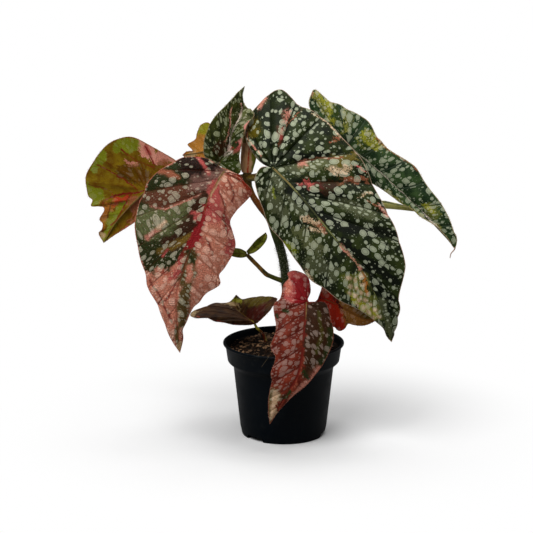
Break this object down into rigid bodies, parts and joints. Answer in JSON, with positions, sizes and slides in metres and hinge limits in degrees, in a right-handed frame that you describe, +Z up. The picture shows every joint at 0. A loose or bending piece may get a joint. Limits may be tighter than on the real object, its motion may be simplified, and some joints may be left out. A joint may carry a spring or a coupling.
{
  "type": "potted begonia",
  "caption": "Potted begonia with large wing-shaped leaves, silver-spotted green and pink, on one stem in a black nursery pot.",
  "frame": {"origin": "centre of the pot's underside, on the floor", "axes": "+Z up along the pot's axis, -Y towards the front of the plant, +X to its right as seen from the front"},
  "size_m": [0.3656, 0.1375, 0.3477],
  "materials": {
    "black_plastic": "satin",
    "compost": "matte",
    "spotted_green_leaf": "satin",
    "pink_leaf": "satin",
    "leaf_underside": "satin",
    "stem_skin": "matte",
    "dry_sheath": "matte",
    "young_shoot": "satin"
  },
  "bodies": {
    "root": {"pot": "black_plastic", "soil": "compost", "main_stem": "stem_skin", "front_leaf": "spotted_green_leaf", "left_leaf": "pink_leaf", "rear_left_leaf": "leaf_underside", "upright_leaf": "spotted_green_leaf", "small_rear_leaf": "leaf_underside", "rear_right_leaf": "spotted_green_leaf", "lower_left_leaf": "leaf_underside", "rim_leaf": "pink_leaf", "lower_right_leaf": "pink_leaf", "stipule_sheath": "dry_sheath", "side_shoot": "stem_skin", "side_right_leaf": "leaf_underside", "side_left_leaf": "leaf_underside", "right_shoot": "young_shoot"}
  },
  "joints": []
}
